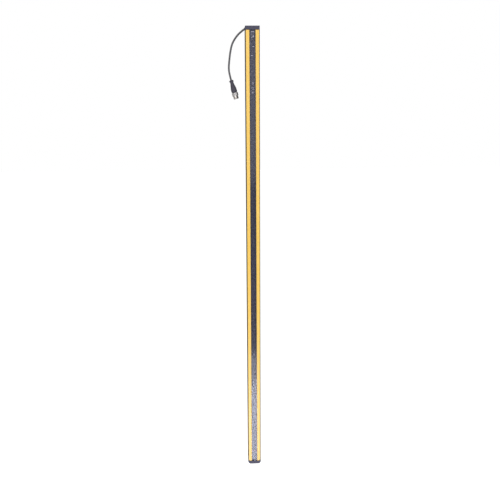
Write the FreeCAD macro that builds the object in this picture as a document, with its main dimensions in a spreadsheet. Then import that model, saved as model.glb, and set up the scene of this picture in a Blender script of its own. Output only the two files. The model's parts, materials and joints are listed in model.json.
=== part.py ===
import FreeCAD, Part
import math
import os
import Sketcher
from FreeCAD import Placement, Rotation, Vector

# One stick of a safety light curtain, with a short cable that ends in an M12 plug.
# Millimetres. The origin is the middle of the flat back face; the stick runs along Z,
# its screen faces -Y and its cable leaves the -X side of the upper cap.

doc = FreeCAD.newDocument("light_curtain")
sheet = doc.addObject("Spreadsheet::Sheet", "Dim")

DIMENSIONS = [
    # the stick
    ("bar_length", 1063.0, "end to end"),
    ("bar_width", 32.0, "across the front"),
    ("bar_depth", 31.0, "back face to the crown of the front strips"),
    ("cap_height", 8.0, "plate of an end cap"),
    ("gasket_thick", 0.8, "between cap and housing"),
    ("front_corner", 1.0, "rounding of the housing's front edges"),
    ("back_corner", 2.5, "rounding of the housing's back edges"),
    # housing section
    ("rim_width", 1.5, "housing edge outside each strip"),
    ("window_width", 14.0, "opening between the strips"),
    ("strip_crown", 0.3, "the strip's middle above its edges"),
    ("strip_thick", 1.1, "the strip's edges"),
    ("strip_round", 4.5, "lower outer corner of a strip"),
    ("strip_end", 1.0, "least straight end beside that corner"),
    ("lip_thick", 1.4, "lip that holds the screen"),
    ("flange_reach", 2.8, "the flange slot behind the lip, sideways"),
    ("chamber_wall", 2.1, "housing wall beside the front chamber"),
    ("corner_wall", 1.6, "housing wall beside a corner pocket"),
    ("rear_room", 15.2, "back face to the shoulder that the boards lie on"),
    ("rear_wall", 2.4, "housing wall behind the rear chamber"),
    ("pocket_wall", 1.4, "wall between a side slot and its corner pocket"),
    ("slot_wall", 1.5, "wall between the front chamber and a side slot"),
    ("slot_floor", 1.4, "wall between a side slot and the rear chamber"),
    ("side_mouth", 4.4, "mouth of a side slot"),
    ("side_lip", 1.4, "lips of a side slot"),
    ("side_inner", 7.4, "inside width of a side slot"),
    ("side_deep", 3.4, "depth of a side slot"),
    # screen and seals
    ("screen_drop", 0.8, "screen face behind the rim"),
    ("screen_gap", 0.15, "between screen and window edge"),
    ("screen_wall", 2.5, "middle of the screen"),
    ("flange_thick", 1.3, "flanges of the screen"),
    ("flange_gap", 0.2, "flange to the end of its slot"),
    ("seal_thick", 1.0, "seal between lip and flange"),
    ("seal_width", 2.0, "seal, across"),
    ("seal_inset", 0.3, "seal behind the window edge"),
    ("groove_half", 5.6, "hollow behind the screen, half its width"),
    # optics
    ("beam_pitch", 10.0, "between two beams"),
    ("modules", 6, "optics modules"),
    ("module_gap", 0.1, "between neighbouring modules"),
    ("end_gap", 0.2, "above the indicator part"),
    ("lens_gap", 0.2, "lens strip behind the screen's flanges"),
    ("lens_plate", 1.0, "plate of a lens strip"),
    ("lens_border", 0.8, "plate beside a lens"),
    ("lens_rise", 0.8, "lens above its plate"),
    ("lens_taper", 1.2, "sloping edge of a lens"),
    ("block_gap", 0.5, "optics block to the screw bosses"),
    ("channel_wall", 1.8, "wall between two light channels, at the lens"),
    ("board_thick", 1.6, "circuit boards"),
    ("board_gap", 0.3, "circuit board to the chamber wall"),
    ("diode_size", 2.8, "beam diode, square"),
    ("diode_tall", 1.2, "beam diode above its board"),
    ("diode_gap", 0.7, "beam diode to its channel"),
    ("boss_round", 2.6, "screw boss in the front chamber"),
    ("boss_reach", 2.3, "boss centre inside the chamber wall"),
    # caps
    ("cap_bevel", 0.5, "upper cap's top edges"),
    ("cap_round", 7.0, "lower cap's corners"),
    ("spigot_high", 6.0, "spigot inside the rear chamber"),
    ("spigot_gap", 0.3, "spigot to the chamber walls"),
    ("gasket_inset", 0.4, "gasket edge inside the housing's outline"),
    ("screw_core", 1.3, "radius of a screw channel"),
    ("shank_radius", 1.25, "cap screw"),
    ("shank_long", 9.0, "cap screw below its head"),
    ("head_radius", 2.25, "cap screw's head"),
    ("head_tall", 1.8, "cap screw's head"),
    ("head_pocket", 2.45, "radius of the pocket for a head"),
    ("head_seat", 4.0, "depth of that pocket"),
    ("screw_hole", 1.45, "radius of a cap's screw hole"),
    ("socket_flats", 2.0, "hexagon socket, across the flats"),
    ("socket_deep", 1.1, "hexagon socket"),
    # indicator part
    ("indicator_long", 24.9, "block behind the top of the screen"),
    ("guide_width", 6.0, "light guide, across"),
    ("guide_tall", 2.4, "light guide, along the stick"),
    ("guide_pitch", 4.6, "between two light guides"),
    ("guide_count", 4, "light guides"),
    ("header_width", 12.0, "socket for the cable's wires"),
    ("header_tall", 8.0, "socket for the cable's wires"),
    ("header_deep", 5.5, "socket for the cable's wires"),
    ("header_inset", 2.0, "socket above the foot of its board"),
    # cable and its exit
    ("cable_width", 4.2, "cable diameter"),
    ("exit_angle", 35.0, "the cable leaves below the horizontal, degrees"),
    ("exit_margin", 0.05, "exit bore above the cap's lower edge"),
    ("exit_clear", 0.1, "exit bore to the pocket of a screw head"),
    ("exit_deep", 3.6, "exit bore along its axis"),
    ("exit_stand", 0.6, "bush face outside the cap's side"),
    ("bush_wall", 0.4, "bush round the cable"),
    ("bore_outside", 6.0, "exit bore's cutter outside its end"),
    ("cutter_over", 1.0, "other cutters beyond the surface that they open"),
    # plug, along its own axis from the cable end
    ("grip_long", 27.5, "moulded grip"),
    ("grip_full", 8.5, "widest part of the grip begins, from its front"),
    ("grip_end", 2.2, "front shoulder of the grip"),
    ("collar_long", 3.8, "collar at the cable"),
    ("collar_wall", 2.7, "grip round the cable, at the collar"),
    ("collar_slope", 1.4, "slope behind the collar"),
    ("waist_wall", 1.8, "grip round the cable, at the waist"),
    ("waist_long", 2.2, "waist along the plug"),
    ("grip_radius", 6.5, "grip at its widest"),
    ("grip_bevel", 1.4, "front shoulder of the grip, inwards"),
    ("insert_radius", 4.2, "stem of the insert"),
    ("insert_seat", 6.0, "stem inside the grip"),
    ("fit_gap", 0.05, "stem in the grip, pins in the insert"),
    ("nut_gap", 0.3, "play of the nut along the plug"),
    ("nut_fit", 0.08, "nut on the stem, radial"),
    ("nut_radius", 6.9, "knurled ring"),
    ("nut_ring", 7.6, "knurled ring, along the plug"),
    ("nut_long", 14.2, "knurled ring and threaded sleeve"),
    ("nut_collar", 4.8, "part of the nut that runs on the stem"),
    ("sleeve_radius", 6.0, "M12 threaded sleeve"),
    ("sleeve_gap", 0.3, "sleeve round the insert's flange"),
    ("nut_bevel", 0.5, "edges of the ring and the sleeve"),
    ("flute_deep", 0.45, "notches of the knurled ring"),
    ("flute_wide", 1.1, "notches of the knurled ring"),
    ("flute_count", 16, "notches of the knurled ring"),
    ("flange_step", 0.7, "flange that keeps the nut on, outside the stem"),
    ("flange_tall", 1.2, "flange that keeps the nut on"),
    ("nose_step", 0.3, "nose of the insert, inside the stem"),
    ("nose_tall", 1.2, "nose of the insert"),
    ("ring_section", 0.9, "sealing ring"),
    ("pin_radius", 0.5, "contact pin"),
    ("pin_circle", 2.75, "radius of the circle of pins"),
    ("pin_count", 4, "pins on the circle, one more in the middle"),
    ("pin_stand", 6.0, "pin in front of the nose"),
    ("pin_root", 3.0, "pin inside the insert"),
    ("key_width", 0.9, "coding key on the nose, across"),
    ("key_long", 2.5, "coding key on the nose, along the plug"),
    ("key_deep", 0.9, "coding key on the nose, inwards"),
    ("key_inset", 0.1, "coding key behind the nose's edge"),
]

for row, (alias, value, note) in enumerate(DIMENSIONS, start=1):
    sheet.set("A%d" % row, alias)
    sheet.set("B%d" % row, str(value))
    sheet.set("C%d" % row, note)
    sheet.setAlias("B%d" % row, alias)
doc.recompute()

# Places that several pieces share, as formulas on the sheet.
RIM_Y = "-(Dim.bar_depth - Dim.strip_crown)"
SEAT_Y = "-(Dim.bar_depth - Dim.strip_crown - Dim.strip_thick)"
LIP_Y = "(%s + Dim.lip_thick)" % SEAT_Y
FLANGE_Y = "(%s + Dim.seal_thick)" % LIP_Y
SLOT_Y = "(%s + Dim.flange_thick)" % FLANGE_Y
LENS_Y = "(%s + Dim.lens_gap)" % SLOT_Y
BLOCK_Y = "(%s + Dim.lens_plate)" % LENS_Y
SHOULDER_Y = "(-Dim.rear_room)"
BOARD_Y = "(%s - Dim.board_thick)" % SHOULDER_Y
BLOCK_DEEP = "(%s - %s)" % (BOARD_Y, BLOCK_Y)
SIDE_SLOT_Y = "(%s + Dim.slot_wall + Dim.side_inner / 2)" % SHOULDER_Y
BODY_HALF = "(Dim.bar_length / 2 - Dim.cap_height - Dim.gasket_thick)"
HALF_WIDTH = "(Dim.bar_width / 2)"
WINDOW_HALF = "(Dim.window_width / 2)"
RIM_X = "(%s - Dim.rim_width)" % HALF_WIDTH
SLOT_X = "(%s + Dim.flange_reach)" % WINDOW_HALF
CHAMBER_HALF = "(%s - Dim.chamber_wall)" % HALF_WIDTH
POCKET_HALF = "(%s - Dim.corner_wall)" % HALF_WIDTH
SHOULDER_HALF = "(%s - Dim.side_deep - Dim.slot_floor)" % HALF_WIDTH
BOARD_HALF = "(%s - Dim.board_gap)" % CHAMBER_HALF
SCREW_X = "(%s - Dim.boss_reach)" % CHAMBER_HALF
SCREW_Y = "((%s + %s) / 2)" % (SLOT_Y, SHOULDER_Y)
BLOCK_HALF = "(%s - Dim.boss_round - Dim.block_gap)" % SCREW_X
LENS_HALF = "(Dim.beam_pitch / 2 - Dim.lens_border)"
CHANNEL_FRONT = "(Dim.beam_pitch / 2 - Dim.channel_wall / 2)"
CHANNEL_REAR = "(Dim.diode_size / 2 + Dim.diode_gap)"

# The beams fill the housing below the indicator part, as many to a module as go in.
STACK_TOP = "(%s - Dim.end_gap)" % BODY_HALF
STACK_ROOM = "(2 * %s - Dim.indicator_long - Dim.end_gap)" % BODY_HALF
BEAMS_EACH = "floor(%s / (Dim.modules * Dim.beam_pitch))" % STACK_ROOM
MODULE_LONG = "(%s * Dim.beam_pitch)" % BEAMS_EACH
STACK_FOOT = "(%s - Dim.modules * %s - Dim.indicator_long)" % (STACK_TOP, MODULE_LONG)

# The cable leaves the upper cap as low as its bush fits, beside the pocket of the screw head.
BUSH_RADIUS = "(Dim.cable_width / 2 + Dim.bush_wall)"
EXIT_DROP = "(Dim.cap_height - %s / cos(Dim.exit_angle) - Dim.exit_margin)" % BUSH_RADIUS
EXIT_Y = "(%s + Dim.head_pocket + %s + Dim.exit_clear)" % (SCREW_Y, BUSH_RADIUS)


def size(formula):
    """The number that a formula on the sheet gives."""
    return float(sheet.evalExpression(formula))


def dim(alias):
    """One value of the sheet."""
    return size("Dim." + alias)


def tie(item, **formulas):
    """Bind properties to formulas; place_x, place_y and place_z stand for the position."""
    for name, formula in formulas.items():
        if name.startswith("place_"):
            name = "Placement.Base." + name[-1]
        item.setExpression(name, formula)
    return item


def box(name, low, high):
    """A Part::Box between two corners given as formulas."""
    item = doc.addObject("Part::Box", name)
    tie(item, place_x=low[0], place_y=low[1], place_z=low[2])
    for prop, start, stop in zip(("Length", "Width", "Height"), low, high):
        item.setExpression(prop, "(%s) - (%s)" % (stop, start))
    return item


def rod(name, radius, height, place):
    """A Part::Cylinder that stands on a point given as formulas."""
    item = doc.addObject("Part::Cylinder", name)
    return tie(item, Radius=radius, Height=height, place_x=place[0], place_y=place[1], place_z=place[2])


def cut(name, base, tools):
    item = doc.addObject("Part::Cut", name)
    item.Base = base
    item.Tool = tools[0] if len(tools) == 1 else fuse(name + "_tools", tools)
    return item


def fuse(name, shapes):
    item = doc.addObject("Part::MultiFuse", name)
    item.Shapes = shapes
    return item


def group(name, shapes):
    """Separate solids that share one node."""
    item = doc.addObject("Part::Compound", name)
    item.Links = shapes
    return item


def body_plane(body, role):
    """An origin plane of this body."""
    return next(f for f in body.Origin.OriginFeatures if f.Role == role)


def sketch_on(body, name, role):
    sketch = body.newObject("Sketcher::SketchObject", name)
    sketch.AttachmentSupport = [(body_plane(body, role), "")]
    sketch.MapMode = "FlatFace"
    return sketch


def hold(sketch, constraint, formula):
    """Add a constraint whose value follows a formula."""
    number = sketch.addConstraint(constraint)
    sketch.setExpression("Constraints[%d]" % number, formula)


def fix_point(sketch, geometry, point, x, y):
    """Hold a point of the sketch at two formulas."""
    for kind, formula in (("DistanceX", x), ("DistanceY", y)):
        hold(sketch, Sketcher.Constraint(kind, -1, 1, geometry, point, size(formula)), formula)


def outline(sketch, corners):
    """A closed wire through (x, y) corners; (x, y, centre x, centre y, turn) starts an arc to the next."""
    ends = []
    for here, there in zip(corners, corners[1:] + corners[:1]):
        start = Vector(size(here[0]), size(here[1]), 0)
        stop = Vector(size(there[0]), size(there[1]), 0)
        if len(here) == 2:
            index = sketch.addGeometry(Part.LineSegment(start, stop))
            ends.append((index, 1, 2))
            continue
        centre = Vector(size(here[2]), size(here[3]), 0)
        turn = 1 if here[4] == "left" else -1
        first, last = (start, stop) if turn > 0 else (stop, start)
        angles = [math.atan2(p.y - centre.y, p.x - centre.x) for p in (first, last)]
        if angles[1] < angles[0]:
            angles[1] += 2 * math.pi
        circle = Part.Circle(centre, Vector(0, 0, 1), (first - centre).Length)
        index = sketch.addGeometry(Part.ArcOfCircle(circle, *angles))
        ends.append((index, 1, 2) if turn > 0 else (index, 2, 1))
    for number, (index, first, last) in enumerate(ends):
        follower = ends[(number + 1) % len(ends)]
        sketch.addConstraint(Sketcher.Constraint("Coincident", index, last, follower[0], follower[1]))
    for corner, following, (index, first, last) in zip(corners, corners[1:] + corners[:1], ends):
        fix_point(sketch, index, first, corner[0], corner[1])
        if len(corner) > 2:
            flat = abs(size(following[0]) - size(corner[0])) > abs(size(following[1]) - size(corner[1]))
            kind, formula = ("DistanceY", corner[3]) if flat else ("DistanceX", corner[2])
            hold(sketch, Sketcher.Constraint(kind, -1, 1, index, 3, size(formula)), formula)


def round_hole(sketch, x, y, radius):
    """A circle held at two formulas."""
    circle = Part.Circle(Vector(size(x), size(y), 0), Vector(0, 0, 1), size(radius))
    index = sketch.addGeometry(circle)
    fix_point(sketch, index, 3, x, y)
    hold(sketch, Sketcher.Constraint("Radius", index, size(radius)), radius)


def new_body(name, x="0", y="0", z="0"):
    body = doc.addObject("PartDesign::Body", name)
    return tie(body, place_x=x, place_y=y, place_z=z)


def pad(body, sketch, length, reverse=False):
    feature = body.newObject("PartDesign::Pad", sketch.Name + "_pad")
    feature.Profile = sketch
    feature.Reversed = reverse
    feature.setExpression("Length", length)
    doc.recompute()
    return feature


def pocket(body, sketch, length, reverse=False):
    """A pocket that must take material away."""
    before = body.Shape.Volume
    feature = body.newObject("PartDesign::Pocket", sketch.Name + "_pocket")
    feature.Profile = sketch
    feature.Reversed = reverse
    feature.setExpression("Length", length)
    doc.recompute()
    if body.Shape.Volume > before - 0.01:
        raise RuntimeError(feature.Name + " cuts nothing")
    return feature


def edges_where(body, test):
    """Names of the straight edges whose two ends both pass a test, in the body's own frame."""
    shape = body.Tip.Shape
    names = []
    for number, edge in enumerate(shape.Edges, start=1):
        if len(edge.Vertexes) == 2 and test(edge.Vertexes[0].Point, edge.Vertexes[1].Point):
            names.append("Edge%d" % number)
    return names


def dress(body, kind, name, edges, prop, formula):
    """A fillet or chamfer on named edges of the tip."""
    feature = body.newObject("PartDesign::" + kind, name)
    feature.Base = (body.Tip if body.Tip != feature else feature.BaseFeature, edges)
    feature.setExpression(prop, formula)
    body.Tip = feature
    doc.recompute()
    return feature


def upright_at(x, y, near=0.01):
    """A test for edges along Z at plus or minus x and at y."""
    def test(a, b):
        same = abs(a.x - b.x) < near and abs(a.y - b.y) < near
        return same and abs(abs(a.x) - x) < near and abs(a.y - y) < near
    return test


def mirror_x(corners):
    """The same corners on the other side, in the opposite order."""
    flipped = []
    backward = corners[::-1]
    for number, corner in enumerate(backward):
        item = ("-(%s)" % corner[0], corner[1])
        following = backward[number + 1] if number + 1 < len(backward) else ()
        if len(following) > 2:
            item += ("-(%s)" % following[2], following[3], following[4])
        flipped.append(item)
    return flipped


# Housing -------------------------------------------------------------------------------

def side_slot():
    """The slot in the side that brackets clamp in, from the front lip to the back one."""
    low, high = SIDE_SLOT_Y + " - Dim.%s / 2", SIDE_SLOT_Y + " + Dim.%s / 2"
    lip = "(%s - Dim.side_lip)" % HALF_WIDTH
    floor = "(%s - Dim.side_deep)" % HALF_WIDTH
    return [
        (HALF_WIDTH, low % "side_mouth"), (lip, low % "side_mouth"),
        (lip, low % "side_inner"), (floor, low % "side_inner"),
        (floor, high % "side_inner"), (lip, high % "side_inner"),
        (lip, high % "side_mouth"), (HALF_WIDTH, high % "side_mouth"),
    ]


def housing_profile():
    """One extrusion: window channel, strip seats, two chambers, screw bosses and a slot in each side."""
    body = new_body("housing_profile", z="-" + BODY_HALF)
    sketch = sketch_on(body, "housing_section", "XY_Plane")
    outside = [(WINDOW_HALF, SEAT_Y), (RIM_X, SEAT_Y), (RIM_X, RIM_Y), (HALF_WIDTH, RIM_Y)]
    outside += side_slot() + [(HALF_WIDTH, "0")]
    pocket_y = "(%s + Dim.side_inner / 2 + Dim.pocket_wall)" % SIDE_SLOT_Y
    boss_low = "(%s - Dim.boss_round)" % SCREW_Y
    boss_high = "(%s + Dim.boss_round)" % SCREW_Y
    inside = [
        (POCKET_HALF, "-Dim.rear_wall"), (POCKET_HALF, pocket_y),
        (SHOULDER_HALF, pocket_y), (SHOULDER_HALF, SHOULDER_Y),
        (CHAMBER_HALF, SHOULDER_Y), (CHAMBER_HALF, boss_high),
        (SCREW_X, boss_high, SCREW_X, SCREW_Y, "left"), (SCREW_X, boss_low),
        (CHAMBER_HALF, boss_low), (CHAMBER_HALF, SLOT_Y),
        (SLOT_X, SLOT_Y), (SLOT_X, LIP_Y), (WINDOW_HALF, LIP_Y),
    ]
    outline(sketch, outside + mirror_x(outside) + mirror_x(inside) + inside)
    for side in ("", "-"):
        round_hole(sketch, side + SCREW_X, SCREW_Y, "Dim.screw_core")
    pad(body, sketch, "2 * " + BODY_HALF)
    half = dim("bar_width") / 2
    for name, y, radius in (("front_edges", size(RIM_Y), "front_corner"), ("back_edges", 0.0, "back_corner")):
        dress(body, "Fillet", name, edges_where(body, upright_at(half, y)), "Radius", "Dim." + radius)
    return body


def front_strip(name, side):
    """A crowned strip on its seat beside the window; its lower outer corner is rounded."""
    body = new_body(name, z="-" + BODY_HALF)
    sketch = sketch_on(body, name + "_section", "XY_Plane")
    inner, outer = side + WINDOW_HALF, side + RIM_X
    crown = "Dim.strip_crown"
    chord = "((%s - %s) / 2)" % (RIM_X, WINDOW_HALF)
    arc_radius = "((%s ^ 2 + %s ^ 2) / (2 * %s))" % (chord, crown, crown)
    centre_x = "(%s + %s) / 2" % (inner, outer)
    centre_y = "(-Dim.bar_depth + %s)" % arc_radius
    turn = "right" if side else "left"
    corners = [(inner, RIM_Y, centre_x, centre_y, turn), (outer, RIM_Y), (outer, SEAT_Y), (inner, SEAT_Y)]
    outline(sketch, corners)
    pad(body, sketch, "2 * " + BODY_HALF)
    outer_x = abs(size(outer))

    def at_corner(point):
        return abs(abs(point.x) - outer_x) < 0.01 and abs(point.z) < 0.01

    edge = edges_where(body, lambda a, b: at_corner(a) and at_corner(b))
    room = "%s - %s - Dim.strip_end" % (RIM_X, WINDOW_HALF)
    dress(body, "Fillet", name + "_corner", edge, "Radius", "min(Dim.strip_round; %s)" % room)
    return body


def front_screen():
    """Hat section: the raised middle fills the window, the flanges sit behind the lips."""
    body = new_body("front_screen", z="-" + BODY_HALF)
    sketch = sketch_on(body, "screen_section", "XY_Plane")
    face = "(%s + Dim.screen_drop)" % RIM_Y
    middle = "(%s - Dim.screen_gap)" % WINDOW_HALF
    flange = "(%s - Dim.flange_gap)" % SLOT_X
    right = [
        (middle, face), (middle, FLANGE_Y), (flange, FLANGE_Y), (flange, SLOT_Y),
        ("Dim.groove_half", SLOT_Y), ("Dim.groove_half", "(%s + Dim.screen_wall)" % face),
    ]
    outline(sketch, right + mirror_x(right))
    pad(body, sketch, "2 * " + BODY_HALF)
    return body


def screen_seal(name, side):
    near = "(%s + Dim.seal_inset)" % WINDOW_HALF
    far = "(%s + Dim.seal_width)" % near
    low, high = (near, far) if not side else ("-" + far, "-" + near)
    return box(name, (low, LIP_Y, "-" + BODY_HALF), (high, FLANGE_Y, BODY_HALF))


# Optics --------------------------------------------------------------------------------

def module_foot(number):
    return "(%s + %d * %s)" % (STACK_FOOT, number, MODULE_LONG)


def optics_block(number):
    """A moulded block with a light channel for each beam, square and tapered towards the diode."""
    name = "optics_block_%d" % (number + 1)
    body = new_body(name, y=BLOCK_Y, z=module_foot(number))
    module_plate(body, BLOCK_HALF, BLOCK_DEEP)
    before = body.Shape.Volume
    front, back = (CHANNEL_FRONT, "0"), (CHANNEL_REAR, BLOCK_DEEP)
    channel = tapered(body, "SubtractiveWedge", name + "_channel", front, back)
    repeat_beams(body, name, channel)
    if body.Shape.Volume > before - 1:
        raise RuntimeError(name + " has no light channels")
    return body


def module_plate(body, half, deep):
    """A module's plate, from its own origin towards the back."""
    plate = sketch_on(body, body.Name + "_plate", "XY_Plane")
    outline(plate, [("-" + half, "0"), (half, "0"), (half, deep), ("-" + half, deep)])
    pad(body, plate, "%s - Dim.module_gap" % MODULE_LONG)


def tapered(body, kind, name, front, back):
    """A square wedge along Y at the module's first beam; each end is (half its side, y)."""
    wedge = body.newObject("PartDesign::" + kind, name)
    middle = "Dim.beam_pitch / 2"
    for end, half in (("", front[0]), ("2", back[0])):
        wedge.setExpression("X%smin" % end, "-" + half)
        wedge.setExpression("X%smax" % end, half)
        wedge.setExpression("Z%smin" % end, "%s - %s" % (middle, half))
        wedge.setExpression("Z%smax" % end, "%s + %s" % (middle, half))
    tie(wedge, Ymin=front[1], Ymax=back[1])
    doc.recompute()
    return wedge


def repeat_beams(body, name, feature):
    """The same feature at every beam of the module."""
    pattern = body.newObject("PartDesign::LinearPattern", name + "_beams")
    pattern.Originals = [feature]
    pattern.Direction = (next(f for f in body.Origin.OriginFeatures if f.Role == "Z_Axis"), [""])
    pattern.setExpression("Length", "(%s - 1) * Dim.beam_pitch" % BEAMS_EACH)
    pattern.setExpression("Occurrences", BEAMS_EACH)
    body.Tip = pattern
    doc.recompute()


def lens_strip(number):
    """A clear plate with one raised lens in front of each channel."""
    name = "lens_strip_%d" % (number + 1)
    body = new_body(name, y=LENS_Y, z=module_foot(number))
    module_plate(body, BLOCK_HALF, "Dim.lens_plate")
    crown = "(%s - Dim.lens_taper)" % LENS_HALF
    lens = tapered(body, "AdditiveWedge", name + "_lens", (crown, "-Dim.lens_rise"), (LENS_HALF, "0"))
    repeat_beams(body, name, lens)
    return body


def circuit_board(number):
    name = "circuit_board_%d" % (number + 1)
    foot = module_foot(number)
    top = "(%s + %s - Dim.module_gap)" % (foot, MODULE_LONG)
    return box(name, ("-" + BOARD_HALF, BOARD_Y, foot), (BOARD_HALF, SHOULDER_Y, top))


def beam_diodes(number):
    """One diode behind each lens, on the front of the board."""
    name = "beam_diodes_%d" % (number + 1)
    half = "Dim.diode_size / 2"
    parts = []
    for beam in range(int(size(BEAMS_EACH))):
        middle = "(%s + %s * Dim.beam_pitch)" % (module_foot(number), beam + 0.5)
        low = ("-" + half, "%s - Dim.diode_tall" % BOARD_Y, "%s - %s" % (middle, half))
        high = (half, BOARD_Y, "%s + %s" % (middle, half))
        parts.append(box("%s_%d" % (name, beam + 1), low, high))
    return group(name, parts)


# Indicator part ------------------------------------------------------------------------

INDICATOR_FOOT = "(%s + Dim.modules * %s)" % (STACK_FOOT, MODULE_LONG)


def guide_box(name, number, clearance):
    """The place of one light guide, or of its hole with a clearance round it."""
    middle = "(%s + Dim.indicator_long / 2 + (%d - (Dim.guide_count - 1) / 2) * Dim.guide_pitch)"
    middle = middle % (INDICATOR_FOOT, number)
    wide = "(Dim.guide_width / 2 + %s)" % clearance
    tall = "(Dim.guide_tall / 2 + %s)" % clearance
    low = ("-" + wide, LENS_Y, "%s - %s" % (middle, tall))
    return box(name, low, (wide, BOARD_Y, "%s + %s" % (middle, tall)))


def indicator_part():
    """Block with light guides, its board, and the socket that takes the cable's wires."""
    low = ("-" + BLOCK_HALF, LENS_Y, INDICATOR_FOOT)
    solid = box("indicator_solid", low, (BLOCK_HALF, BOARD_Y, STACK_TOP))
    count = range(int(dim("guide_count")))
    holes = [guide_box("guide_hole_%d" % number, number, "Dim.fit_gap") for number in count]
    guides = [guide_box("guide_%d" % number, number, "0") for number in count]
    low, high = ("-" + BOARD_HALF, BOARD_Y, INDICATOR_FOOT), (BOARD_HALF, SHOULDER_Y, STACK_TOP)
    board = box("control_board", low, high)
    foot = "(%s + Dim.header_inset)" % INDICATOR_FOOT
    low = ("-Dim.header_width / 2", SHOULDER_Y, foot)
    high = ("Dim.header_width / 2", "%s + Dim.header_deep" % SHOULDER_Y, "%s + Dim.header_tall" % foot)
    header = box("cable_header", low, high)
    return [cut("indicator_block", solid, holes), group("indicator_guides", guides), board, header]


# Caps ----------------------------------------------------------------------------------

TOP_JOINT = "(%s + Dim.gasket_thick)" % BODY_HALF
HEAD_SEAT = "(Dim.bar_length / 2 - Dim.head_seat)"
SCREW_PLACES = [(SCREW_X, SCREW_Y), ("-" + SCREW_X, SCREW_Y)]


def cap_plate(name):
    """The plate of a cap in its own frame, with its joint face at z 0."""
    body = new_body(name)
    plate = sketch_on(body, name + "_plate", "XY_Plane")
    half = HALF_WIDTH
    outline(plate, [("-" + half, RIM_Y), (half, RIM_Y), (half, "0"), ("-" + half, "0")])
    pad(body, plate, "Dim.cap_height")
    return body


def round_cap_sides(body):
    """The same roundings as the housing's edges."""
    wide = dim("bar_width") / 2
    for edge_name, y, radius in (("front", size(RIM_Y), "front_corner"), ("back", 0.0, "back_corner")):
        edges = edges_where(body, upright_at(wide, y))
        dress(body, "Fillet", "%s_%s" % (body.Name, edge_name), edges, "Radius", "Dim." + radius)


def fit_cap(body):
    """Spigot into the rear chamber, and counterbored screw holes."""
    name = body.Name
    spigot = sketch_on(body, name + "_spigot", "XY_Plane")
    wide = "(%s - Dim.spigot_gap)" % SHOULDER_HALF
    front = "(%s + Dim.spigot_gap)" % SHOULDER_Y
    back = "-(Dim.rear_wall + Dim.spigot_gap)"
    outline(spigot, [("-" + wide, front), (wide, front), (wide, back), ("-" + wide, back)])
    pad(body, spigot, "Dim.spigot_high", reverse=True)
    holes = sketch_on(body, name + "_holes", "XY_Plane")
    heads = sketch_on(body, name + "_heads", "XY_Plane")
    heads.setExpression("AttachmentOffset.Base.z", "Dim.cap_height - Dim.head_seat")
    for x, y in SCREW_PLACES:
        round_hole(holes, x, y, "Dim.screw_hole")
        round_hole(heads, x, y, "Dim.head_pocket")
    pocket(body, holes, "Dim.cap_height", reverse=True)
    pocket(body, heads, "Dim.head_seat", reverse=True)


def exit_frame(depth):
    """Placement whose Z runs out along the cable's exit axis, a depth inside the cap's side."""
    angle = math.radians(dim("exit_angle"))
    out = Vector(-math.cos(angle), 0, -math.sin(angle))
    side = Vector(-size(HALF_WIDTH), size(EXIT_Y), dim("bar_length") / 2 - size(EXIT_DROP))
    return Placement(side - out * depth, Rotation(Vector(0, 0, 1), out)), out


def top_end_cap():
    """The upper cap: sharp corners, bevelled top, and the cable's bore in its left side."""
    body = cap_plate("top_cap_solid")
    round_cap_sides(body)
    high = dim("cap_height")
    rim = edges_where(body, lambda a, b: abs(a.z - high) < 0.01 and abs(b.z - high) < 0.01)
    dress(body, "Chamfer", "top_cap_bevel", rim, "Size", "Dim.cap_bevel")
    fit_cap(body)
    tie(body, place_z=TOP_JOINT)
    bore = doc.addObject("Part::Cylinder", "exit_bore")
    tie(bore, Radius=BUSH_RADIUS, Height="Dim.exit_deep + Dim.bore_outside")
    bore.Placement = exit_frame(dim("exit_deep"))[0]
    return cut("top_end_cap", body, [bore])


def bottom_end_cap():
    """The lower cap: its outer corners are well rounded, and it is turned over."""
    body = cap_plate("bottom_end_cap")
    round_cap_sides(body)
    for side, turn in (("", "left"), ("-", "right")):
        corner = sketch_on(body, "cap_corner" + ("_left" if side else "_right"), "XZ_Plane")
        edge, top = side + HALF_WIDTH, "Dim.cap_height"
        start = "%s(%s - Dim.cap_round)" % (side, HALF_WIDTH)
        foot = "(Dim.cap_height - Dim.cap_round)"
        outside, above = "%s(%s + Dim.cutter_over)" % (side, HALF_WIDTH), "(Dim.cap_height + Dim.cutter_over)"
        outline(corner, [
            (edge, foot, start, foot, turn), (start, top), (start, above), (outside, above), (outside, foot),
        ])
        pocket(body, corner, "Dim.bar_depth", reverse=True)
    fit_cap(body)
    turned_over(body, "-" + TOP_JOINT)
    return body


def turned_over(item, z):
    """Turn a cap or its screws about Y, so that the outside faces down, and place it."""
    item.Placement = Placement(Vector(0, 0, size(z)), Rotation(Vector(0, 1, 0), 180))
    item.setExpression("Placement.Base.z", z)


def gasket(name, low, high):
    """A flat gasket that follows the section, open where the spigot and the screws pass."""
    inset, half = "Dim.gasket_inset", HALF_WIDTH
    plate = box(name + "_plate", ("-%s + %s" % (half, inset), "%s + %s" % (RIM_Y, inset), low),
                ("%s - %s" % (half, inset), "-" + inset, high))
    opening = box(name + "_opening", ("-" + SHOULDER_HALF, SHOULDER_Y, low),
                  (SHOULDER_HALF, "-Dim.rear_wall", high))
    tall = "Dim.gasket_thick"
    holes = [rod("%s_hole_%d" % (name, number), "Dim.screw_hole", tall, place + (low,))
             for number, place in enumerate(SCREW_PLACES)]
    return cut(name, plate, [opening] + holes)


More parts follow.
